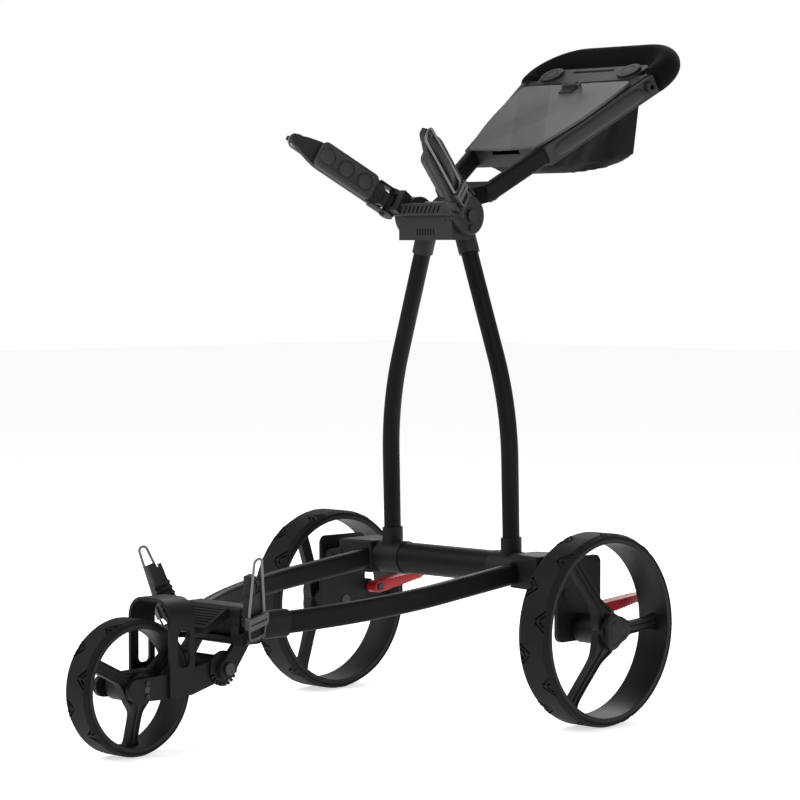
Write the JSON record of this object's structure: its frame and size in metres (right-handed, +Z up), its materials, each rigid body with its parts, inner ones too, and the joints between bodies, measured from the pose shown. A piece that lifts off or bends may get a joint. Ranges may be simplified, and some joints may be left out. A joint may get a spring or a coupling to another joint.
{
  "type": "three-wheel folding golf push cart",
  "caption": "Folding golf push cart with curved uprights, padded bag arms, an angled console handle with a net bag, and spoked wheels.",
  "frame": {"origin": "on the floor, under the middle of the overall bounding box", "axes": "+Z up; -Y points to the front wheel, +Y to the grip; +X is the cart user's left when walking forward"},
  "size_m": [0.6728, 1.1906, 1.0654],
  "materials": {
    "black_tube": "matt black powder coat",
    "dark_plastic": "fine-textured dark grey moulding",
    "wheel_plastic": "fine-textured black moulding",
    "tyre": "dull foamed rubber",
    "rubber": "dull rubber",
    "lid_grey": "mid grey satin moulding",
    "lever_red": "satin red moulding",
    "steel": "bright steel",
    "foam": "soft black foam",
    "net": "black woven net",
    "cord": "light grey elastic cord",
    "clip": "dark grey buckle with a wire ring"
  },
  "bodies": {
    "frame": {"cross_tube": "black_tube", "lower_tube_left": "black_tube", "lower_tube_right": "black_tube", "end_block_left": "dark_plastic", "end_block_right": "dark_plastic", "front_block": "dark_plastic", "nose_cover": "dark_plastic", "frame_pins": "steel"},
    "upright_frame": {"upright_left": "black_tube", "upright_right": "black_tube", "upright_collars": "dark_plastic", "hinge_housing": "dark_plastic", "cradle_bar": "dark_plastic", "hinge_pin": "steel"},
    "lock_key": {"hinge_lock_key": "dark_plastic"},
    "fork": {"fork_arch": "dark_plastic", "fork_leg_left": "dark_plastic", "fork_leg_right": "dark_plastic", "fold_hub": "dark_plastic", "front_axle": "steel"},
    "front_wheel": {"front_tyre": "tyre", "front_rim": "wheel_plastic", "front_bearings": "steel"},
    "handle": {"handle_frame": "black_tube", "foam_grip": "foam", "console_tray": "dark_plastic", "holder_discs": "dark_plastic", "accessory_bosses": "dark_plastic", "net_bag": "net", "lid_pin": "steel"},
    "lid": {"console_lid": "lid_grey"},
    "clip": {"scorecard_clip": "dark_plastic"},
    "top_arm_left": {"top_arm_left": "dark_plastic", "top_pad_left": "rubber", "top_loop_left": "cord", "top_clip_left": "clip"},
    "lower_arm_left": {"lower_arm_left": "dark_plastic", "lower_loop_left": "cord", "lower_clip_left": "clip"},
    "carrier_left": {"wheel_carrier_left": "dark_plastic", "carrier_pins_left": "steel"},
    "lever_left": {"release_lever_left": "lever_red"},
    "rear_wheel_left": {"rear_tyre_left": "tyre", "rear_rim_left": "wheel_plastic", "hub_cap_left": "dark_plastic", "rear_bearings_left": "steel"},
    "top_arm_right": {"top_arm_right": "dark_plastic", "top_pad_right": "rubber", "top_loop_right": "cord", "top_clip_right": "clip"},
    "lower_arm_right": {"lower_arm_right": "dark_plastic", "lower_loop_right": "cord", "lower_clip_right": "clip"},
    "carrier_right": {"wheel_carrier_right": "dark_plastic", "carrier_pins_right": "steel"},
    "lever_right": {"release_lever_right": "lever_red"},
    "rear_wheel_right": {"rear_tyre_right": "tyre", "rear_rim_right": "wheel_plastic", "hub_cap_right": "dark_plastic", "rear_bearings_right": "steel"}
  },
  "joints": [
    {"name": "upright_fold", "type": "hinge", "parent": "frame", "child": "upright_frame", "pos_m": [0, 0.16818, 0.23], "axis": [1, 0, 0], "range_deg": [0, 75]},
    {"name": "handle_fold", "type": "hinge", "parent": "upright_frame", "child": "handle", "pos_m": [0, 0.14018, 0.778], "axis": [-1, 0, 0], "range_deg": [0, 76]},
    {"name": "hinge_lock_slide", "type": "slide", "parent": "upright_frame", "child": "lock_key", "axis": [-1, 0, 0], "range_m": [0, 0.006], "stiffness_N_per_m": 600},
    {"name": "console_lid_hinge", "type": "hinge", "parent": "handle", "child": "lid", "pos_m": [0, 0.47378, 0.99533], "axis": [-1, 0, 0], "range_deg": [0, 75]},
    {"name": "scorecard_clip_hinge", "type": "hinge", "parent": "lid", "child": "clip", "pos_m": [0, 0.45152, 0.9953], "axis": [-1, 0, 0], "range_deg": [0, 30], "stiffness_Nm_per_rad": 0.05},
    {"name": "top_arm_fold_left", "type": "hinge", "parent": "upright_frame", "child": "top_arm_left", "pos_m": [0.078, 0.11033, 0.79813], "axis": [0, -0.5592, -0.829], "range_deg": [0, 29]},
    {"name": "lower_arm_fold_left", "type": "hinge", "parent": "frame", "child": "lower_arm_left", "pos_m": [0.084, -0.33382, 0.165], "axis": [0, -0.9703, -0.2419], "range_deg": [0, 36]},
    {"name": "wheel_fold_left", "type": "hinge", "parent": "frame", "child": "carrier_left", "pos_m": [0.233, 0.18218, 0.225], "axis": [0, 1, 0], "range_deg": [0, 90]},
    {"name": "release_lever_left", "type": "hinge", "parent": "carrier_left", "child": "lever_left", "pos_m": [0.241, 0.23618, 0.167], "axis": [1, 0, 0], "range_deg": [0, 25]},
    {"name": "rear_wheel_spin_left", "type": "hinge", "parent": "carrier_left", "child": "rear_wheel_left", "pos_m": [0.29435, 0.18218, 0.1475], "axis": [1, 0, 0], "continuous": true},
    {"name": "top_arm_fold_right", "type": "hinge", "parent": "upright_frame", "child": "top_arm_right", "pos_m": [-0.078, 0.11033, 0.79813], "axis": [0, 0.5592, 0.829], "range_deg": [0, 29]},
    {"name": "lower_arm_fold_right", "type": "hinge", "parent": "frame", "child": "lower_arm_right", "pos_m": [-0.084, -0.33382, 0.165], "axis": [0, 0.9703, 0.2419], "range_deg": [0, 36]},
    {"name": "wheel_fold_right", "type": "hinge", "parent": "frame", "child": "carrier_right", "pos_m": [-0.233, 0.18218, 0.225], "axis": [0, -1, 0], "range_deg": [0, 90]},
    {"name": "release_lever_right", "type": "hinge", "parent": "carrier_right", "child": "lever_right", "pos_m": [-0.241, 0.23618, 0.167], "axis": [1, 0, 0], "range_deg": [0, 25]},
    {"name": "rear_wheel_spin_right", "type": "hinge", "parent": "carrier_right", "child": "rear_wheel_right", "pos_m": [-0.29435, 0.18218, 0.1475], "axis": [1, 0, 0], "continuous": true},
    {"name": "fork_fold", "type": "hinge", "parent": "frame", "child": "fork", "pos_m": [0, -0.35482, 0.116], "axis": [1, 0, 0], "range_deg": [0, 155]},
    {"name": "front_wheel_spin", "type": "hinge", "parent": "fork", "child": "front_wheel", "pos_m": [0, -0.49652, 0.0988], "axis": [1, 0, 0], "continuous": true}
  ]
}
